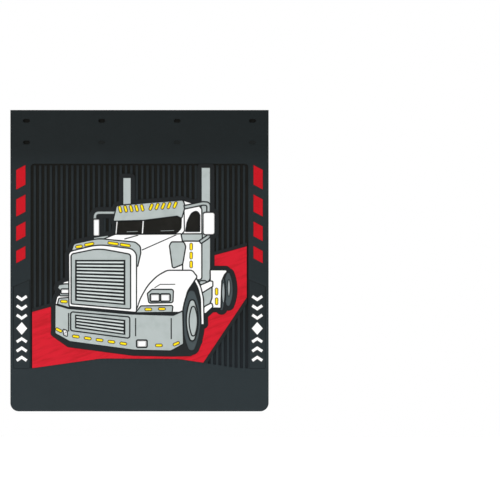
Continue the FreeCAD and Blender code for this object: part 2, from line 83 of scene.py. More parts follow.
SHARPEST = 0.8  # the least squared sum of two edge normals that an inward direction is worked out with
FACING = 0.99  # the least share of a front face's normal that points to -Y
TINY = 1e-12
LOG = logging.getLogger("mud_flap")

Array = np.ndarray
Colour = tuple[float, float, float]
Places = tuple[tuple[float, float], ...]


class Body(Enum):
    """The bodies of the frame."""

    BAND = "band"
    PANEL = "panel"
    SKIRT = "skirt"


class Edge(Enum):
    """The rounding of a moulded piece's top edge, as (width, drop, fade).

    The rim's darkness falls from 1 to 0 over the width, raised to the power fade.
    """

    CRISP = (0.85 * MM, 0.4 * MM, 0.3)
    CROWNED = (2.4 * MM, 0.8 * MM, 1.0)
    LENS = (1.9 * MM, 0.9 * MM, 1.0)


# ---- Shader maths -------------------------------------------------------------------------------------
class Wire:
    """A socket of a shader. Arithmetic on it adds Math nodes."""

    def __init__(self, tree: "Tree", socket: bpy.types.NodeSocket) -> None:
        """Keeps the node tree and the socket."""
        self.tree = tree
        self.socket = socket

    def _math(self, operation: str, first: "Value", second: "Value") -> "Wire":
        """Adds one Math node."""
        return self.tree.node("ShaderNodeMath", "Value", {"operation": operation}, {0: first, 1: second})

    def __add__(self, other: "Value") -> "Wire":
        """self + other."""
        return self._math("ADD", self, other)

    def __radd__(self, other: "Value") -> "Wire":
        """other + self."""
        return self._math("ADD", other, self)

    def __sub__(self, other: "Value") -> "Wire":
        """self - other."""
        return self._math("SUBTRACT", self, other)

    def __rsub__(self, other: "Value") -> "Wire":
        """other - self."""
        return self._math("SUBTRACT", other, self)

    def __mul__(self, other: "Value") -> "Wire":
        """self * other."""
        return self._math("MULTIPLY", self, other)

    def __rmul__(self, other: "Value") -> "Wire":
        """other * self."""
        return self._math("MULTIPLY", other, self)


Value = Union[float, tuple, Wire]


class Tree:
    """A node tree, with one method that adds a node and one that feeds a socket."""

    def __init__(self, tree: bpy.types.NodeTree) -> None:
        """Keeps the node tree."""
        self.tree = tree

    def node(self, kind: str, output: Union[str, int], settings: dict, inputs: dict) -> Wire:
        """Adds a node.

        Args:
            kind: the node's type.
            output: the socket that is wanted.
            settings: the node's properties, set before its sockets.
            inputs: values or wires for its sockets, by name or number.

        Returns:
            A wire on the output.
        """
        node = self.tree.nodes.new(kind)
        for key, value in settings.items():
            setattr(node, key, value)
        for key, value in inputs.items():
            self.feed(node.inputs[key], value)
        return Wire(self, node.outputs[output])

    def feed(self, socket: bpy.types.NodeSocket, value: Value) -> None:
        """Links a wire to a socket, or sets its value."""
        if isinstance(value, Wire):
            self.tree.links.new(value.socket, socket)
        elif isinstance(value, tuple) and socket.type == "RGBA":
            socket.default_value = (*value, 1.0)
        else:
            socket.default_value = value


class Shader(Tree):
    """A material whose surface is one Principled BSDF."""

    def __init__(self, name: str) -> None:
        """Makes an empty node tree with the surface and its output."""
        self.material = bpy.data.materials.new(name)
        self.material.use_nodes = True
        super().__init__(self.material.node_tree)
        self.tree.nodes.clear()
        self.surface = self.tree.nodes.new("ShaderNodeBsdfPrincipled")
        output = self.tree.nodes.new("ShaderNodeOutputMaterial")
        self.tree.links.new(self.surface.outputs["BSDF"], output.inputs["Surface"])

    def set(self, **inputs: Value) -> None:
        """Feeds the surface's sockets, named with underscores in place of spaces."""
        for key, value in inputs.items():
            self.feed(self.surface.inputs[key.replace("_", " ")], value)

    def place(self) -> Wire:
        """The point's place on the object."""
        return self.node("ShaderNodeTexCoord", "Object", {}, {})

    def mark(self, name: str) -> Wire:
        """A number kept on the mesh's points."""
        return self.node("ShaderNodeAttribute", "Fac", {"attribute_name": name}, {})

    def noise(self, place: Wire, size: float, detail: float = 2.0) -> Wire:
        """Cloudy noise from 0 to 1, whose patches are about as wide as size."""
        inputs = {"Vector": place, "Scale": 1 / size, "Detail": detail, "Roughness": 0.55}
        return self.node("ShaderNodeTexNoise", 0, {}, inputs)

    def step(self, value: Wire, low: float, high: float) -> Wire:
        """A smooth step from 0 at low to 1 at high."""
        inputs = {"Value": value, "From Min": low, "From Max": high}
        return self.node("ShaderNodeMapRange", "Result", {"interpolation_type": "SMOOTHSTEP"}, inputs)

    def mix(self, factor: Value, first: Value, second: Value) -> Wire:
        """The first colour, going to the second as factor goes from 0 to 1."""
        settings = {"data_type": "RGBA", "blend_type": "MIX"}
        return self.node("ShaderNodeMix", 2, settings, {0: factor, 6: first, 7: second})

    def bump(self, height: Wire, depth: float, below: Union[Wire, None] = None) -> Wire:
        """A bumpy normal, on top of another if there is one."""
        inputs = {"Height": height, "Distance": depth, "Strength": 1.0}
        if below:
            inputs["Normal"] = below
        return self.node("ShaderNodeBump", "Normal", {}, inputs)


# ---- Finishes -----------------------------------------------------------------------------------------
@dataclass(frozen=True)
class SheetRubber:
    """Matt moulded rubber with a fine grain, cloudy patches and painted shade in its hollows.

    Painted sheen pales it in two steps: from the shoulder under the band, and again towards the foot.
    """

    name: str = "moulded_black_rubber"
    slot: str = "black_rubber"
    colour: Colour = (0.0062, 0.0098, 0.0107)
    # painted sheen: the paler colour that the rubber takes below the shoulder and at the foot
    painted_sheen_colour: Colour = (0.0188, 0.0272, 0.0312)
    # painted shade: the colour of the hollows; the next one is the paler shade they take at the foot, with
    # painted sheen
    hollow: Colour = (0.0084, 0.0070, 0.0048)
    painted_shade_at_foot: Colour = (0.0126, 0.0150, 0.0182)
    # how far the hollow mark carries the rubber to the painted shade
    painted_shade_share: float = 0.82
    # where the painted sheen first pales the rubber, and how much
    shoulder: tuple[float, float] = (-160 * MM, -50 * MM)  # z of the first paling
    shoulder_sheen_share: float = 0.56
    # where the painted sheen pales it again towards the foot, and how much
    foot: tuple[float, float] = (-620 * MM, -340 * MM)  # z of the second
    foot_sheen_share: float = 0.44
    cloudiness: float = 0.16
    patch: float = 55 * MM
    fleck: float = 5 * MM
    roughness: float = 0.58
    gloss: float = 0.15
    grain: float = 0.9 * MM
    grain_depth: float = 0.05 * MM
    unevenness: float = 1.2 * MM

    def material(self) -> bpy.types.Material:
        """Builds the material."""
        shader = Shader(self.name)
        place = shader.place()
        clouds = shader.noise(place, self.patch, 4.0)
        flecks = shader.noise(place, self.fleck, 3.0)
        grain = shader.noise(place, self.grain)
        height = shader.node("ShaderNodeSeparateXYZ", "Z", {}, {"Vector": place})
        hollow = shader.mark("hollow")
        # Painted sheen: the rubber pales below the shoulder and again towards the foot, in the hollows too.
        below_shoulder = self.shoulder_sheen_share - self.shoulder_sheen_share * shader.step(height, *self.shoulder)
        at_foot = 1.0 - shader.step(height, *self.foot)
        mottle = self.cloudiness * (clouds + 0.6 * flecks - 0.8)
        skin = shader.mix(below_shoulder + self.foot_sheen_share * at_foot + mottle, self.colour, self.painted_sheen_colour)
        # Painted shade: the hollow mark carries the colour to the shade of the grooves, recesses, slot webs,
        # knock-out floors and rounded edges.
        floor = shader.mix(at_foot, self.hollow, self.painted_shade_at_foot)
        base = shader.mix(self.painted_shade_share * hollow, skin, floor)
        uneven = shader.bump(clouds, self.unevenness)
        rough = self.roughness + 0.16 * (flecks - 0.5) + 0.10 * (0.5 - clouds) + 0.35 * hollow
        shader.set(Base_Color=base, Roughness=rough, Specular_IOR_Level=self.gloss)
        shader.set(Normal=shader.bump(grain, self.grain_depth, uneven))
        return shader.material


@dataclass(frozen=True)
class InlayRubber:
    """Smooth coloured rubber, a little uneven, with a soiled edge where it meets the black."""

    name: str
    slot: str
    colour: Colour
    deep: Colour
    edge: Colour
    patch: float = 28 * MM
    lean: float = 0.35  # how far the patches lean, in radians
    stretch: tuple[float, float, float] = (1.0, 1.0, 1.0)
    spread: tuple[float, float] = (0.42, 0.78)  # noise where the deep colour starts and is full
    roughness: float = 0.46
    gloss: float = 0.40
    grain: float = 0.8 * MM
    grain_depth: float = 0.03 * MM
    unevenness: float = 0.5 * MM

    def material(self) -> bpy.types.Material:
        """Builds the material."""
        shader = Shader(self.name)
        place = shader.place()
        about_y = {"rotation_type": "Y_AXIS"}
        turned = shader.node("ShaderNodeVectorRotate", 0, about_y, {"Vector": place, "Angle": self.lean})
        multiply = {"operation": "MULTIPLY"}
        drawn = shader.node("ShaderNodeVectorMath", 0, multiply, {0: turned, 1: self.stretch})
        clouds = shader.noise(drawn, self.patch, 4.0)
        grain = shader.noise(place, self.grain)
        body = shader.mix(shader.step(clouds, *self.spread), self.colour, self.deep)
        soiled = shader.mark("rim") * (0.7 + 0.3 * clouds)
        rough = self.roughness + 0.12 * (grain - 0.5) + 0.10 * (clouds - 0.5) + 0.3 * soiled
        base = shader.mix(soiled, body, self.edge)
        shader.set(Base_Color=base, Roughness=rough, Specular_IOR_Level=self.gloss)
        uneven = shader.bump(clouds, self.unevenness)
        shader.set(Normal=shader.bump(grain, self.grain_depth, uneven))
        return shader.material


class Finish:
    """The finishes of the flap, each made into a material once."""

    SHEET = SheetRubber()
    BACKING = SheetRubber(
        name="plain_black_rubber",
        slot="backing_rubber",
        colour=(0.0095, 0.0105, 0.0110),
        # painted sheen: the paler colour lower down
        painted_sheen_colour=(0.0150, 0.0185, 0.0200),
        roughness=0.62,
        gloss=0.12,
    )
    WHITE = InlayRubber(
        name="white_rubber",
        slot="white_inlay",
        colour=(0.96, 0.96, 0.95),
        deep=(0.90, 0.905, 0.90),
        edge=(0.012, 0.010, 0.010),
    )
    GREY = InlayRubber(
        name="grey_rubber",
        slot="grey_inlay",
        colour=(0.425, 0.475, 0.468),
        deep=(0.37, 0.42, 0.41),
        edge=(0.01, 0.011, 0.011),
    )
    PALE_GREY = InlayRubber(
        name="pale_grey_rubber",
        slot="grey_inlay",
        colour=(0.62, 0.68, 0.67),
        deep=(0.55, 0.60, 0.59),
        edge=(0.02, 0.02, 0.02),
    )
    DIM_GREY = InlayRubber(
        name="dim_grey_rubber",
        slot="grey_inlay",
        colour=(0.30, 0.34, 0.345),
        deep=(0.24, 0.27, 0.28),
        edge=(0.02, 0.02, 0.02),
    )
    RED = InlayRubber(
        name="red_rubber",
        slot="red_inlay",
        colour=(0.515, 0.002, 0.010),
        deep=(0.45, 0.002, 0.008),
        edge=(0.02, 0.003, 0.004),
        gloss=0.14,
    )
    ROAD = InlayRubber(
        name="streaked_red_rubber",
        slot="red_inlay",
        colour=(0.60, 0.006, 0.020),
        deep=(0.485, 0.004, 0.013),
        edge=(0.012, 0.003, 0.004),
        patch=9 * MM,
        stretch=(0.13, 1.0, 1.0),
        spread=(0.42, 0.66),
        gloss=0.16,
    )
    AMBER = InlayRubber(
        name="amber_rubber",
        slot="amber_inlay",
        colour=(1.0, 0.76, 0.0),
        deep=(1.0, 0.68, 0.0),
        edge=(0.25, 0.12, 0.004),
        gloss=0.2,
    )
    SLATE = InlayRubber(
        name="slate_rubber",
        slot="slate_inlay",
        colour=(0.056, 0.075, 0.081),
        deep=(0.044, 0.058, 0.064),
        edge=(0.006, 0.006, 0.006),
        gloss=0.2,
    )
    WINDOW = InlayRubber(
        name="window_rubber",
        slot="window_inlay",
        colour=(0.0095, 0.0092, 0.0075),
        deep=(0.014, 0.0135, 0.0115),
        edge=(0.004, 0.004, 0.004),
        gloss=0.1,
    )
    _made: dict[str, bpy.types.Material] = {}

    @classmethod
    def dress(cls, piece: bpy.types.Object, finish: Union[SheetRubber, InlayRubber]) -> None:
        """Gives a piece its material."""
        if finish.name not in cls._made:
            cls._made[finish.name] = finish.material()
        piece.data.materials.append(cls._made[finish.name])


# ---- Shapes -------------------------------------------------------------------------------------------
def quarter(width: float, drop: float, steps: int) -> tuple[Array, Array]:
    """A quarter ellipse from a wall to a top.

    At angle a, from 0 to 90 degrees, the inset is width (1 - cos a) and the drop is drop (1 - sin a).

    Args:
        width: how far the rounding reaches over the top.
        drop: how far it reaches down the wall.
        steps: how many straight parts it has.

    Returns:
        The insets and the drops.
    """
    angle = np.linspace(0, math.pi / 2, steps + 1)
    return width * (1 - np.cos(angle)), drop * (1 - np.sin(angle))


def rounded(distance: Array, radius: float) -> Array:
    """How far a round edge lies under the top, at a distance from it.

    For a radius r that is r - sqrt(r^2 - (r - d)^2) at distance d, and 0 past r.
    """
    gap = np.clip(radius - distance, 0, radius)
    return radius - np.sqrt(radius**2 - gap**2)


@dataclass
class Outline:
    """The edges round flat faces, with the filled side on their left when seen from the front."""

    points: Array  # (n, 2) x and z
    front: Array  # (n,) y
    edges: Array  # (m, 2)
    triangles: Array  # (t, 3)
    inward: Array = field(init=False)

    def __post_init__(self) -> None:
        """Works out each point's inward direction: an offset along it moves both its edges by that much.

        The sum s of a point's two edge normals gives 2 s / |s|^2, held back at very sharp corners.
        """
        along = self.points[self.edges[:, 1]] - self.points[self.edges[:, 0]]
        along /= np.linalg.norm(along, axis=1)[:, None]
        left = np.stack([-along[:, 1], along[:, 0]], axis=1)
        total = np.zeros_like(self.points)
        np.add.at(total, self.edges.ravel(), np.repeat(left, 2, axis=0))
        self.inward = 2 * total / np.maximum((total**2).sum(1), SHARPEST)[:, None]

    @classmethod
    def of_node(cls, node: str, level: Union[float, None] = None) -> "Outline":
        """The outline of a frame node's front faces.

        Args:
            node: the node's name.
            level: the y of the faces that count, or None for every face that looks to the front.

        Returns:
            The outline, with its points welded.
        """
        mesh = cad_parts[node].data
        mesh.calc_loop_triangles()
        places = np.empty(len(mesh.vertices) * 3, np.float32)
        corners = np.empty(len(mesh.loop_triangles) * 3, np.int32)
        mesh.vertices.foreach_get("co", places)
        mesh.loop_triangles.foreach_get("vertices", corners)
        keys = np.round(places.reshape(-1, 3) / SEAM_TOLERANCE).astype(np.int64)
        _, first, same = np.unique(keys, axis=0, return_index=True, return_inverse=True)
        points = places.reshape(-1, 3).astype(float)[first]
        triangles = same.ravel()[corners].reshape(-1, 3)
        a, b, c = (points[triangles[:, i]] for i in range(3))
        normal = np.cross(b - a, c - a)
        size = np.linalg.norm(normal, axis=1)
        chosen = (size > 0) & (normal[:, 1] < -FACING * size)
        if level is not None:
            chosen &= np.abs(points[triangles][:, :, 1] - level).max(1) < LEVEL_TOLERANCE
        triangles = triangles[chosen]
        used, flat = np.unique(triangles, return_inverse=True)
        triangles = flat.reshape(-1, 3)
        count = len(used)
        edges = np.concatenate([triangles[:, [0, 1]], triangles[:, [1, 2]], triangles[:, [2, 0]]])
        alone = ~np.isin(edges[:, 0] * count + edges[:, 1], edges[:, 1] * count + edges[:, 0])
        return cls(points[used][:, [0, 2]], points[used][:, 1], edges[alone], triangles)

    def fans(self, loops: Array, pitch: float) -> Array:
        """Fills closed loops with triangles that share each loop's first point.

        Args:
            loops: edges of closed loops, of which one stands in each pitch along x.
            pitch: the pitch.

        Returns:
            (triangles, 3) point numbers, wound against the loops.
        """
        group = np.floor(self.points[loops[:, 0], 0] / pitch)
        made = []
        for number in np.unique(group):
            loop = loops[group == number]
            start = loop.min()
            fan = loop[(loop != start).all(1)]
            made.append(np.column_stack([fan[:, ::-1], np.full(len(fan), start)]))
        return np.concatenate(made)

    def reach(self, width: float) -> Array:
        """The share of an inset that each point can take: less where the opposite side is near.

        A ray from each point along its inward direction meets the edges. The share is the distance to the
        nearest hit, times NEAR_SHARE, over the inset.

        Args:
            width: the inset at full share.

        Returns:
            (n,) shares from 0 to 1.
        """
        start = self.points[self.edges[:, 0]][None]
        run = (self.points[self.edges[:, 1]] - self.points[self.edges[:, 0]])[None]
        offset = start - self.points[:, None]
        ray = self.inward[:, None]
        across = ray[..., 0] * run[..., 1] - ray[..., 1] * run[..., 0]
        safe = np.where(np.abs(across) < TINY, TINY, across)
        hit = (offset[..., 0] * run[..., 1] - offset[..., 1] * run[..., 0]) / safe
        share = (offset[..., 0] * ray[..., 1] - offset[..., 1] * ray[..., 0]) / safe
        index = np.arange(len(self.points))[:, None]
        own = (self.edges[None, :, 0] == index) | (self.edges[None, :, 1] == index)
        slack = 1e-6
        met = (hit > 0.1 * slack) & (share >= -slack) & (share <= 1 + slack) & ~own
        nearest = np.where(met, hit, np.inf).min(1)
        return np.minimum(1.0, NEAR_SHARE * nearest / width)

    def holds(self, x: Array, z: Array) -> Array:
        """Whether each place is in the filled area: an upward ray from it crosses an odd number of edges."""
        inside = np.zeros(x.shape, bool)
        for a, b in self.points[self.edges]:
            crosses = (a[0] > x) != (b[0] > x)
            if crosses.any():
                height = a[1] + (x - a[0]) * (b[1] - a[1]) / (b[0] - a[0] + TINY)
                inside ^= crosses & (z < height)
        return inside


class Shell:
    """Gathers the points and faces of one closed piece."""

    def __init__(self, mark: str) -> None:
        """Starts an empty shell whose points carry a number called mark."""
        self.mark = mark
        self.points: list[Array] = []
        self.marks: list[Array] = []
        self.faces: list[Array] = []
        self.smooth: list[bool] = []
        self.creased: list[bool] = []
        self.count = 0

    def add(self, x: Array, y: Array, z: Array, mark: Union[Array, float]) -> Array:
        """Adds points, and returns their numbers in the same shape."""
        x, y, z, mark = np.broadcast_arrays(x, y, z, mark)
        numbers = self.count + np.arange(x.size).reshape(x.shape)
        self.points.append(np.stack([x.ravel(), y.ravel(), z.ravel()], axis=1))
        self.marks.append(mark.ravel().astype(np.float32))
        self.count += x.size
        return numbers

    def face(self, faces: Array, smooth: bool, creased: bool = False) -> None:
        """Adds faces, one per row. Creased ones share no shading with their neighbours."""
        self.faces.append(faces)
        self.smooth += [smooth] * len(faces)
        self.creased += [creased] * faces.size

    def rings(self, outline: Outline, insets: Array, levels: Array, marks: Array) -> Array:
        """Carries a profile along an outline: ring k is the outline moved in by insets[k], at y = levels[k].

        Args:
            outline: the outline.
            insets: (k,) distances inwards.
            levels: (k, n) y of each ring's points.
            marks: (k,) the number that each ring carries.

        Returns:
            (k, n) point numbers.
        """
        shift = insets[:, None] * outline.reach(max(insets.max(), SMALLEST_INSET))[None]
        x = outline.points[:, 0] + shift * outline.inward[:, 0]
        z = outline.points[:, 1] + shift * outline.inward[:, 1]
        return self.add(x, levels, z, marks[:, None])

    def wall(self, rings: Array, edges: Array) -> None:
        """Joins each ring to the next along the edges, from the back to the front."""
        a, b = edges.T
        for low, high in zip(rings[:-1], rings[1:]):
            self.face(np.stack([low[a], low[b], high[b], high[a]], axis=1), True)

    def cap(self, ring: Array, triangles: Array, to_front: bool) -> None:
        """Closes a ring with flat triangles."""
        faces = ring[triangles]
        self.face(faces if to_front else faces[:, ::-1], False)

    def grid(self, numbers: Array, to_front: bool) -> None:
        """Fills a grid whose rows go down and whose columns go to +X."""
        quads = np.stack([numbers[:-1, :-1], numbers[1:, :-1], numbers[1:, 1:], numbers[:-1, 1:]], axis=-1)
        quads = quads.reshape(-1, 4)
        self.face(quads if to_front else quads[:, ::-1], True)

    def hem(self, front: Array, back: Array) -> None:
        """Closes the gap between the borders of a front and a back grid: smooth sides, creased ends."""
        sides = (np.s_[:, 0], np.s_[::-1, -1])
        ends = (np.s_[-1, :], np.s_[0, ::-1])
        for cut in sides + ends:
            near, far = front[cut], back[cut]
            end = cut in ends
            self.face(np.stack([near[:-1], far[:-1], far[1:], near[1:]], axis=1), not end, creased=end)

    def piece(self, name: str) -> bpy.types.Object:
        """Makes the object."""
        mesh = bpy.data.meshes.new(name)
        faces = [face for group in self.faces for face in group.tolist()]
        mesh.from_pydata(np.concatenate(self.points).tolist(), [], faces)
        mesh.polygons.foreach_set("use_smooth", self.smooth)
        edges = np.empty(len(mesh.loops), np.int32)
        mesh.loops.foreach_get("edge_index", edges)
        sharp = np.isin(np.arange(len(mesh.edges)), edges[np.array(self.creased)])
        mesh.edges.foreach_set("use_edge_sharp", sharp)
        attribute = mesh.attributes.new(self.mark, "FLOAT", "POINT")
        attribute.data.foreach_set("value", np.concatenate(self.marks))
        mesh.update()
        piece = bpy.data.objects.new(name, mesh)
        bpy.context.scene.collection.objects.link(piece)
        LOG.info("%s: %d faces", name, len(mesh.polygons))
        return piece


def slab(name: str, outline: Outline, back: float, edge: Edge, steps: int = 3) -> bpy.types.Object:
    """A flat-topped piece with a straight wall and a rounded top edge.

    Args:
        name: the piece's name.
        outline: the outline of its top.
        back: the y of its back.
        edge: the rounding of its top edge.
        steps: how many straight parts the rounding has.

    Returns:
        The object.
    """
    width, drop, fade = edge.value
    insets, drops = quarter(width, drop, steps)
    insets = np.concatenate([[0.0], insets])
    levels = np.vstack([np.full(len(outline.points), back), outline.front + drops[:, None]])
    marks = np.concatenate([[1.0], np.linspace(1, 0, steps + 1) ** fade])
    shell = Shell("rim")
    rings = shell.rings(outline, insets, levels, marks)
    shell.wall(rings, outline.edges)
    shell.cap(rings[-1], outline.triangles, True)
    shell.cap(rings[0], outline.triangles, False)
    return shell.piece(name)


# ---- The sheet ----------------------------------------------------------------------------------------
class Row(NamedTuple):
    """A row line of the panel, at z = upper + t (lower - upper) + step between a curve and the next.

    The last three are its shares of the vertical grooves, of the groove along the top and of the recess.
    """

    curve: int
    t: float = 0.0
    step: float = 0.0
    groove: float = 0.0
    head: float = 0.0
    label: float = 0.0


@dataclass
class Sheet:
    """The black sheet: its sizes, and the shells that it is made of."""

    upper_strip: tuple[float, float] = (-60 * MM, -98 * MM)  # z where a bending strip starts and ends
    lower_strip: tuple[float, float] = (-590 * MM, -634 * MM)
    strip_rest: float = 3 * MM  # the ends of a strip that stay straight
    edge_radius: float = 0.9 * MM
    back_edge: float = 0.8  # the back's rounding, as a share of the front's
    slot_edge: float = 0.5 * MM
    slot_pitch: float = 177.8 * MM
    row_pitch: float = 50.8 * MM
    slots: Places = ((-1.5, 0), (-0.5, 0), (0.5, 0), (1.5, 0), (-1.5, -1))  # in pitches along x and z
    knockouts: Places = ((-0.5, -1), (0.5, -1), (1.5, -1))
    knockout_reach: float = 12 * MM
    knockout_floor: float = -6.5 * MM
    knockout_shade: float = 0.35
    web_straight: float = 3.6 * MM  # half the length of a web's straight side
    web_radius: float = 4.4 * MM
    web_back: float = -1.0 * MM
    web_insets: tuple[float, ...] = (0.0, 0.0, 0.9 * MM, 1.8 * MM)
    web_fronts: tuple[float, ...] = (-3.8 * MM, -3.1 * MM, -2.6 * MM)
    web_shade: float = 0.8
    skirt_corner: float = 20 * MM
    field_half: float = 256.7 * MM
    field_top: float = -101.6 * MM
    field_corner: float = 8 * MM
    field_end: float = -584.2 * MM
    arch_x: tuple[float, ...] = (-256.7 * MM, -90 * MM, 90 * MM, 232 * MM, 256.7 * MM)
    arch_rise: tuple[float, ...] = (0.0, 23 * MM, 22 * MM, 1 * MM, 0.0)
    arch_blur: float = 12 * MM
    head_groove: float = 3.6 * MM
    groove_count: int = 41
    groove_width: float = 6.8 * MM
    groove_depth: float = 2.5 * MM
    rib_edge: float = 0.8 * MM
    label_sides: tuple[float, float] = (258.7 * MM, 297.1 * MM)
    label_top: float = -375 * MM
    label_slant: float = 0.417
    label_depth: float = 0.6 * MM
    label_line: float = 0.7 * MM
    pocket_floor: float = -5.2 * MM
    pocket_margin: float = 4 * MM

    def __post_init__(self) -> None:
        """Reads the sheet's sizes from the frame."""
        low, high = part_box("mounting_band")
        self.half = high.x
        self.front = low.y
        self.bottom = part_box("lower_skirt")[0].z

    def build(self) -> None:
        """Makes every shell of the sheet."""
        self.band()
        self.webs()
        self.strip()
        self.panel()
        self.skirt()

    def finish(
        self, piece: bpy.types.Object, body: Union[Body, tuple[Body, Body]], nodes: Sequence[str]
    ) -> None:
        """Dresses a shell of the sheet.

        Args:
            piece: the shell.
            body: the body it rides on, or a pair of bodies, to neither of which it is attached.
            nodes: the frame nodes that it stands for.
        """
        Finish.dress(piece, Finish.SHEET)
        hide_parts(*nodes)
        if isinstance(body, Body):
            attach(piece, body.value)

    def band(self) -> None:
        """The flat band that is bolted up, with open slots and shallow knock-out marks.

        Its outline is the frame node's, cut straight where the bending strip starts. A profile with a
        quarter round at each face is carried through every opening and round the edge. A mark gets a short
        wall and a floor, and the back runs on over it.
        """
        flat = Outline.of_node("mounting_band", self.front)
        seam = flat.points[:, 1] < (self.upper_strip[0] - 10 * MM)
        flat.points[seam, 1] = self.upper_strip[0]
        flat.inward[seam, 1] = 0.0
        blind = self.near_knockout(flat.points)[flat.edges].all(1)
        marks = flat.edges[blind]
        fans = flat.fans(marks, self.slot_pitch)
        level = np.zeros(len(flat.points))
        insets, drops = quarter(self.slot_edge, self.slot_edge, 3)
        shell = Shell("hollow")
        all_insets = np.concatenate([insets[::-1], insets])
        levels = np.concatenate([-drops[::-1], self.front + drops])
        rings = shell.rings(flat, all_insets, levels[:, None] + level, np.zeros(len(levels)))
        shell.wall(rings, flat.edges[~blind])
        shell.cap(rings[-1], flat.triangles, True)
        shell.wall(rings[len(insets):], marks)
        shell.cap(rings[0], flat.triangles, False)
        shell.cap(rings[0], fans, False)
        shade = np.full(1, self.knockout_shade)
        floor = shell.rings(flat, np.zeros(1), self.knockout_floor + level[None], shade)
        shell.wall(np.stack([floor[0], rings[len(insets)]]), marks)
        shell.cap(floor[0], fans, True)
        self.finish(shell.piece("band_sheet"), Body.BAND, ["mounting_band"])

    def near_knockout(self, points: Array) -> Array:
        """Which points lie on the rim of a knock-out mark."""
        centres = np.array(self.knockouts) * (self.slot_pitch, self.row_pitch)
        away = np.linalg.norm(points[:, None] - centres, axis=2)
        return (away < self.knockout_reach).any(1)

    def webs(self) -> None:
        """The thin webs that close the slots: a pill in each, whose front climbs at the slot's wall."""
        shell = Shell("hollow")
        turn = np.linspace(0, math.pi, 13) - math.pi / 2
        out, up = self.web_radius * np.cos(turn), self.web_radius * np.sin(turn)
        right = np.stack([self.web_straight + out, up], axis=1)
        pill = np.concatenate([right, -right])
        level = np.zeros(len(pill))
        ring = np.arange(len(pill))
        edges = np.stack([ring, np.roll(ring, -1)], axis=1)
        fan = np.stack([np.zeros(len(pill) - 2, int), ring[1:-1], ring[2:]], axis=1)
        insets = np.array(self.web_insets)
        levels = np.array([self.web_back, *self.web_fronts])
        shades = np.full(len(levels), self.web_shade)
        for centre in np.array(self.slots) * (self.slot_pitch, self.row_pitch):
            outline = Outline(pill + centre, level + levels[-1], edges, fan)
            rings = shell.rings(outline, insets, levels[:, None] + level, shades)
            shell.wall(rings, edges)
            shell.cap(rings[-1], fan, True)
            shell.cap(rings[0], fan, False)
        self.finish(shell.piece("slot_webs"), Body.BAND, [])

    def side_columns(self, inner: float) -> Array:
        """The x of the columns of one side margin, close together at the rounded edge."""
        near = self.edge_radius * np.array([0.0, 0.08, 0.3, 0.65, 1.0, 1.6])
        return np.concatenate([self.half - near, np.linspace(self.half - 3 * MM, inner, 4)])

    def plain_columns(self) -> Array:
        """The x of the columns of a plain strip."""
        side = self.side_columns(self.field_half)
        return np.concatenate([-side, np.linspace(-self.field_half, self.field_half, 41)[1:-1], side[::-1]])

    def plate(
        self, name: str, x: Array, z: Array, hollow: Array, border: Array, painted_shade: Union[Array, float] = 0.0
    ) -> bpy.types.Object:
        """A closed plate from a grid.

        The front lies at y = front + hollow + rounding, and the back at y = -back_edge x rounding. The
        rounding is that of a quarter circle at distance border from the sheet's outline.

        Args:
            name: the shell's name.
            x: (rows, columns) x.
            z: (rows, columns) z.
            hollow: (rows, columns) depth under the sheet's front.
            border: (rows, columns) distance to the sheet's outline.
            painted_shade: how much painted shade the front carries, as its hollow mark.

        Returns:
            The object.
        """
        shell = Shell("hollow")
        edge = rounded(border, self.edge_radius)
        # The hollow mark carries painted shade: the given share, and full shade down the rounded edge.
        front = shell.add(x, self.front + hollow + edge, z, np.maximum(painted_shade, edge / self.edge_radius))
        back = shell.add(x, -self.back_edge * edge, z, 0.0)
        shell.grid(front, True)
        shell.grid(back, False)
        shell.hem(front, back)
        return shell.piece(name)

    def strip(self) -> None:
        """The strip under the band: a plain plate between the band and the panel."""
        start, end = self.upper_strip
        rows = np.linspace(start, end, 20)
        x, z = np.meshgrid(self.plain_columns(), rows)
        piece = self.plate("upper_flex_strip", x, z, np.zeros_like(x), self.half - np.abs(x))
        self.finish(piece, (Body.BAND, Body.PANEL), [])
        self.bend(piece)

    def bend(self, piece: bpy.types.Object) -> None:
        """Bakes a piece's placement into its mesh; the piece is not bent."""
        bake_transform(piece)

    def skirt(self) -> None:
        """The plain skirt with its rounded corners, under the panel.

        At height h below the centres of the corners the half width is W - R + sqrt(R^2 - h^2). The columns
        of the outer halves give way to that: one at |x| moves in by the lost width times b^2, where b goes
        from 0 halfway out to 1 at the edge.
        """
        start, end = self.lower_strip
        radius = self.skirt_corner
        turn = np.linspace(0, math.pi / 2, 17)
        corner = self.bottom + radius * (1 - np.sin(turn))
        bottom_rows = self.bottom + self.edge_radius * np.array([1.0, 0.65, 0.3, 0.08])
        plain_rows = np.linspace(end, corner[0], 8)[1:]
        rows = np.concatenate([np.linspace(start, end, 24), plain_rows, corner[1:], bottom_rows])
        rows = np.unique(np.round(rows, 7))[::-1]
        fall = np.clip(self.bottom + radius - rows, 0, radius)
        lost = radius - np.sqrt(radius**2 - fall**2)
        columns = self.plain_columns()
        outer = np.clip(2 * np.abs(columns) / self.half - 1, 0, 1)
        x = np.sign(columns) * (np.abs(columns) - lost[:, None] * outer**2)
        z = np.broadcast_to(rows[:, None], x.shape)
        centre_x, centre_z = self.half - radius, self.bottom + radius
        in_corner = (np.abs(x) > centre_x) & (z < centre_z)
        arc = radius - np.hypot(np.abs(x) - centre_x, z - centre_z)
        border = np.where(in_corner, arc, np.minimum(self.half - np.abs(x), z - self.bottom))
        piece = self.plate("skirt_sheet", x, z, np.zeros_like(x), np.maximum(border, 0))
        self.finish(piece, (Body.PANEL, Body.SKIRT), ["lower_skirt"])
        self.bend(piece)

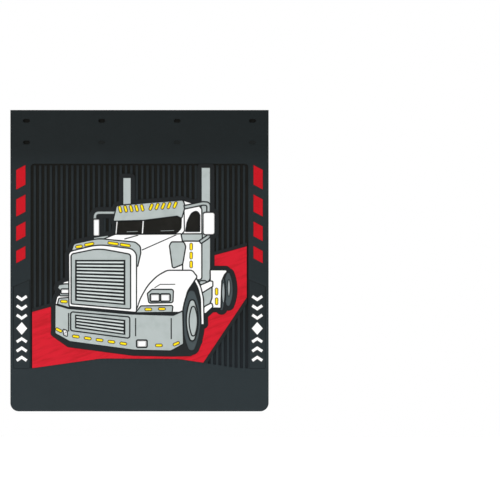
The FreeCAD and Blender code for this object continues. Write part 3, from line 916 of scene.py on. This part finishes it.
    def field_columns(self) -> tuple[Array, Array]:
        """The x of the ribbed field's columns, and the depth of the groove at each, as a share.

        The share is 0 on the rib, and goes through 0.03, 0.15, 0.85 and 0.97 to 1 on the groove's floor.
        """
        pitch = (2 * self.field_half - self.groove_width) / (self.groove_count - 1)
        starts = -self.field_half + pitch * np.arange(self.groove_count)
        edge = self.rib_edge
        steps = np.array([-1.1, -0.6, -0.2, 0.15, 0.5, 1.1]) * edge
        depth = np.array([0.0, 0.03, 0.15, 0.85, 0.97, 1.0])
        across = np.concatenate([steps, [self.groove_width / 2], self.groove_width - steps[::-1]])
        share = np.concatenate([depth, [1.0], depth[::-1]])
        return (starts[:, None] + across).ravel(), np.tile(share, self.groove_count)

    def label_columns(self) -> tuple[Array, Array]:
        """The x of the right side margin's columns, and the label recess's depth at each, as a share."""
        inner, outer = self.label_sides
        steps = np.array([-1.0, -0.5, 0.0, 0.5, 1.0]) * MM
        share = np.array([0.0, 0.15, 0.5, 0.85, 1.0])
        floor = np.linspace(inner + 3 * MM, outer - 3 * MM, 8)
        x = np.concatenate([inner + steps, floor, outer - steps[::-1]])
        depth = np.concatenate([share, np.ones(len(floor)), share[::-1]])
        side = self.side_columns(outer + 3 * MM)[::-1]
        return np.concatenate([x, side]), np.concatenate([depth, np.zeros(len(side))])

    def field_floor(self, x: Array) -> Array:
        """The z of the field's lower edge: straight runs between the arch's corners, blurred."""
        offsets = np.linspace(-self.arch_blur, self.arch_blur, 9)
        runs = np.interp(x[:, None] + offsets, self.arch_x, self.arch_rise, left=0.0, right=0.0)
        return self.field_end + runs.mean(1)

    def field_head(self, x: Array) -> Array:
        """The z of the field's upper edge: top - r + sqrt(r^2 - d^2) at distance d into a corner."""
        into = np.clip(np.abs(x) - self.field_half + self.field_corner, 0, self.field_corner)
        return self.field_top - self.field_corner + np.sqrt(self.field_corner**2 - into**2)

    def panel(self) -> None:
        """The panel: vertical ribs over an arched field, and a shallow recess on each side.

        A groove's depth is its share across times the row's share, but a groove along the top crosses the
        ribs. The recess has the share s, as the product of both, and a fine line 4 s (1 - s) round it. The
        floor lies lower under the picture.
        """
        field_x, groove = self.field_columns()
        label_x, recess = self.label_columns()
        x = np.concatenate([-label_x[::-1], field_x, label_x])
        groove = np.concatenate([np.zeros(len(label_x)), groove, np.zeros(len(label_x))])
        recess = np.concatenate([recess[::-1], np.zeros(len(field_x)), recess])
        z, rows = self.panel_rows(x)
        head = (np.abs(x) < self.field_half - 0.5 * MM) * rows.head
        x = np.broadcast_to(x, z.shape)
        cut = np.maximum(groove * rows.groove, head)
        share = recess * rows.label
        line = 4 * share * (1 - share)
        picture = Outline.of_node("picture_backing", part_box("picture_backing")[0].y)
        hidden = self.under(picture, x, z)
        open_hollow = self.groove_depth * cut + self.label_depth * share + self.label_line * line
        hollow = np.where(hidden, self.pocket_floor - self.front, open_hollow)
        # Painted shade: full in the grooves, a little over the ribbed field and the recess, most on the
        # recess's fine line.
        ribbed = (np.abs(x) < self.field_half) * rows.groove
        painted_shade = np.maximum(cut, np.minimum(0.1 * ribbed + 0.12 * share + 1.5 * line, 1.0))
        piece = self.plate("panel_sheet", x, z, hollow, self.half - np.abs(x), painted_shade)
        self.finish(piece, Body.PANEL, ["picture_panel"])

    def panel_rows(self, x: Array) -> tuple[Array, Row]:
        """Lays the panel's rows along five curves.

        The curves are the panel's top, the field's top, the slanted top of the recess, the arch and the
        panel's end. Rows stand close together at the lips of the field, its top groove and the recess.

        Args:
            x: the columns' x.

        Returns:
            The (rows, columns) z, and a row whose entries are (rows, 1) columns.
        """
        start, end = self.upper_strip[1], self.lower_strip[0]
        outside = np.clip(np.abs(x) - self.label_sides[0], 0, None)
        label_top = self.label_top - self.label_slant * outside
        level = np.ones(len(x))
        curves = np.stack([start * level, self.field_head(x), label_top, self.field_floor(x), end * level])
        lips = np.array([-1.0, -0.35, 0.0, 0.35, 1.0]) * MM
        lip_share = np.array([0.0, 0.1, 0.5, 0.9, 1.0])
        lip = list(zip(-lips, lip_share))
        rows = [Row(0), Row(0, t=0.4)]
        rows += [Row(1, step=step, groove=s, head=s) for step, s in lip]
        rows += [Row(1, step=step - self.head_groove, groove=1.0, head=1 - s) for step, s in lip]
        rows += [Row(1, t=t, groove=1.0) for t in np.linspace(0, 1, 32)[1:-1]]
        rows += [Row(2, step=step, groove=1.0, label=s) for step, s in lip]
        rows += [Row(2, t=t, groove=1.0, label=1.0) for t in np.linspace(0, 1, 26)[1:-1]]
        rows += [Row(3, step=step, groove=1 - s, label=1 - s) for step, s in lip]
        rows += [Row(3, t=0.6), Row(4)]
        plan = Row(*np.array(rows).T[:, :, None])
        upper = plan.curve[:, 0].astype(int)
        lower = np.minimum(upper + 1, len(curves) - 1)
        z = curves[upper] + plan.t * (curves[lower] - curves[upper]) + plan.step
        return z, plan

    def under(self, picture: Outline, x: Array, z: Array) -> Array:
        """Which places lie well under the picture: inside its outline, with a margin all round."""
        inside = np.ones(x.shape, bool)
        margin = self.pocket_margin
        for angle in np.linspace(0, 2 * math.pi, 9)[:-1]:
            inside &= picture.holds(x + margin * math.cos(angle), z + margin * math.sin(angle))
        return inside


# ---- Inlays -------------------------------------------------------------------------------------------
@dataclass
class InlayGroup:
    """Inlays of one finish and one kind of edge, which stand in for frame nodes."""

    finish: Union[SheetRubber, InlayRubber]
    edge: Edge
    nodes: Sequence[str]
    steps: int = 3

    def build(self) -> None:
        """Makes a slab on each node's outline, from the node's back to its front."""
        for node in self.nodes:
            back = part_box(node)[1].y
            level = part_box(node)[0].y if self.finish is Finish.BACKING else None
            outline = Outline.of_node(node, level)
            piece = slab(f"{node}_piece", outline, back, self.edge, self.steps)
            Finish.dress(piece, self.finish)
            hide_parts(node)
            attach(piece, Body.PANEL.value)


@dataclass
class SideStrips:
    """The red markers and the white marks at both sides of the panel."""

    marker_count: int = 4

    def groups(self) -> list[InlayGroup]:
        """The inlays of both strips."""
        names = [f"marker_{side}_{i + 1}" for side in ("left", "right") for i in range(self.marker_count)]
        marks = ["label_marks_left", "label_marks_right"]
        return [InlayGroup(Finish.RED, Edge.CRISP, names), InlayGroup(Finish.WHITE, Edge.CRISP, marks)]


@dataclass
class TruckPicture:
    """The picture of a tractor unit on a red road, on its black backing."""

    body: str = "cab_side windscreen_frame hood grille_shell near_fender wheel_flare far_fender"
    deck: str = "deck_box side_steps"
    lenses: str = "far_lamp_lens fog_lamps headlamp_lenses"
    pipes: str = "near_stack far_stack"
    trim: str = "visor nose_band grille_panel bumper intake_plate air_cleaner cab_belt fuel_tank"
    housings: str = "headlamp_housing signal_strip far_lamp_housing"
    mirrors: str = "near_mirror far_mirror"
    louvres: str = "grille_louvres intake_louvres"
    wheels: str = "wheel_rim wheel_hub"
    tyres: str = "front_tyre rear_tyres"
    lights: str = "visor_lights nose_lights cab_side_lights deck_box_lights signal_lights bumper_lights"

    def groups(self) -> list[InlayGroup]:
        """The backing, the road and every inlay of the truck."""
        return [
            InlayGroup(Finish.BACKING, Edge.CRISP, ["picture_backing"], steps=2),
            InlayGroup(Finish.ROAD, Edge.CRISP, ["road_inlay"]),
            InlayGroup(Finish.WHITE, Edge.CRISP, self.body.split()),
            InlayGroup(Finish.WHITE, Edge.CRISP, self.deck.split()),
            InlayGroup(Finish.WHITE, Edge.CROWNED, self.lenses.split(), steps=5),
            InlayGroup(Finish.GREY, Edge.CRISP, self.pipes.split()),
            InlayGroup(Finish.GREY, Edge.CRISP, self.trim.split()),
            InlayGroup(Finish.GREY, Edge.CRISP, self.housings.split()),
            InlayGroup(Finish.GREY, Edge.CROWNED, ["mirror_arms"], steps=5),
            InlayGroup(Finish.WHITE, Edge.CROWNED, self.mirrors.split(), steps=5),
            InlayGroup(Finish.PALE_GREY, Edge.CRISP, self.louvres.split()),
            InlayGroup(Finish.GREY, Edge.CRISP, self.wheels.split()),
            InlayGroup(Finish.DIM_GREY, Edge.CRISP, ["rear_rims"]),
            InlayGroup(Finish.SLATE, Edge.CROWNED, self.tyres.split(), steps=5),
            InlayGroup(Finish.WINDOW, Edge.CRISP, ["windscreen_panes", "door_window"]),
            InlayGroup(Finish.GREY, Edge.CRISP, ["wipers"]),
            InlayGroup(Finish.AMBER, Edge.LENS, self.lights.split(), steps=6),
        ]


# ---- Studio -------------------------------------------------------------------------------------------
@dataclass(frozen=True)
class AreaLight:
    """A square soft light aimed at a point."""

    name: str
    place: tuple[float, float, float]
    target: tuple[float, float, float]
    size: float
    power: float

    def build(self) -> None:
        """Makes the light."""
        light = bpy.data.lights.new(self.name, "AREA")
        light.size = self.size
        light.energy = self.power
        lamp = bpy.data.objects.new(self.name, light)
        lamp.location = self.place
        lamp.rotation_euler = (Vector(self.target) - Vector(self.place)).to_track_quat("-Z", "Y").to_euler()
        bpy.context.scene.collection.objects.link(lamp)


@dataclass
class Studio:
    """A pale floor, soft lights and the camera."""

    floor_drop: float = 0.30
    floor_half: float = 3.2
    world_light: float = 0.42
    distance: float = 6.0
    view_width: float = 1.1815
    sensor: float = 36.0
    aim: tuple[float, float] = (0.2608, -0.3050)
    centre: tuple[float, float, float] = (0.0, 0.0, -0.33)

    def build(self, low: Vector) -> None:
        """Makes the studio round an object whose lowest corner is given."""
        self.floor(low.z - self.floor_drop)
        self.world()
        for light in self.lights():
            light.build()
        self.camera()
        bpy.context.scene.view_settings.view_transform = "Standard"

    def floor(self, height: float) -> None:
        """A plain pale floor."""
        s = self.floor_half
        mesh = bpy.data.meshes.new("floor")
        corners = [(-s, -s, height), (s, -s, height), (s, s, height), (-s, s, height)]
        mesh.from_pydata(corners, [], [(0, 1, 2, 3)])
        floor = bpy.data.objects.new("floor", mesh)
        bpy.context.scene.collection.objects.link(floor)
        shader = Shader("pale_floor")
        shader.set(Base_Color=(0.90, 0.90, 0.90), Roughness=0.9, Specular_IOR_Level=0.1)
        mesh.materials.append(shader.material)
        floor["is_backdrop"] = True

    def world(self) -> None:
        """A white surround that gives the object only part of its light."""
        world = bpy.data.worlds.new("studio")
        world.use_nodes = True
        tree = Tree(world.node_tree)
        seen = tree.node("ShaderNodeLightPath", "Is Camera Ray", {}, {})
        inputs = {"Value": seen, "To Min": self.world_light, "To Max": 1.0}
        strength = tree.node("ShaderNodeMapRange", "Result", {}, inputs)
        background = world.node_tree.nodes["Background"]
        tree.feed(background.inputs["Strength"], strength)
        tree.feed(background.inputs["Color"], (1.0, 1.0, 1.0))
        bpy.context.scene.world = world

    def lights(self) -> list[AreaLight]:
        """The soft lights: two from the front, one from below, one from above and one from behind."""
        return [
            AreaLight("key_light", (-2.6, -4.0, 2.1), self.centre, 3.0, 104),
            AreaLight("fill_light", (3.2, -4.2, -0.2), self.centre, 3.0, 42),
            AreaLight("low_light", (-1.4, -2.4, -1.2), (-0.3, 0.0, -0.65), 1.2, 13),
            AreaLight("top_light", (0.0, 2.4, 4.5), (0.0, 1.6, -1.0), 5.0, 420),
            AreaLight("back_light", (1.8, 4.4, 1.2), self.centre, 3.0, 120),
        ]

    def camera(self) -> None:
        """A long lens that looks straight along +Y, so that the flap stands left of the middle."""
        data = bpy.data.cameras.new("camera")
        data.sensor_width = self.sensor
        data.lens = self.sensor * self.distance / self.view_width
        camera = bpy.data.objects.new("camera", data)
        camera.location = (self.aim[0], -self.distance, self.aim[1])
        camera.rotation_euler = (math.pi / 2, 0.0, 0.0)
        bpy.context.scene.collection.objects.link(camera)
        bpy.context.scene.camera = camera


def main() -> None:
    """Builds the sheet, the strips, the picture and the studio."""
    logging.basicConfig(level=logging.INFO, format="%(name)s %(message)s")
    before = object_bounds()
    Sheet().build()
    for group in SideStrips().groups() + TruckPicture().groups():
        group.build()
    Studio().build(before[0])


if __name__ == "__main__":
    main()
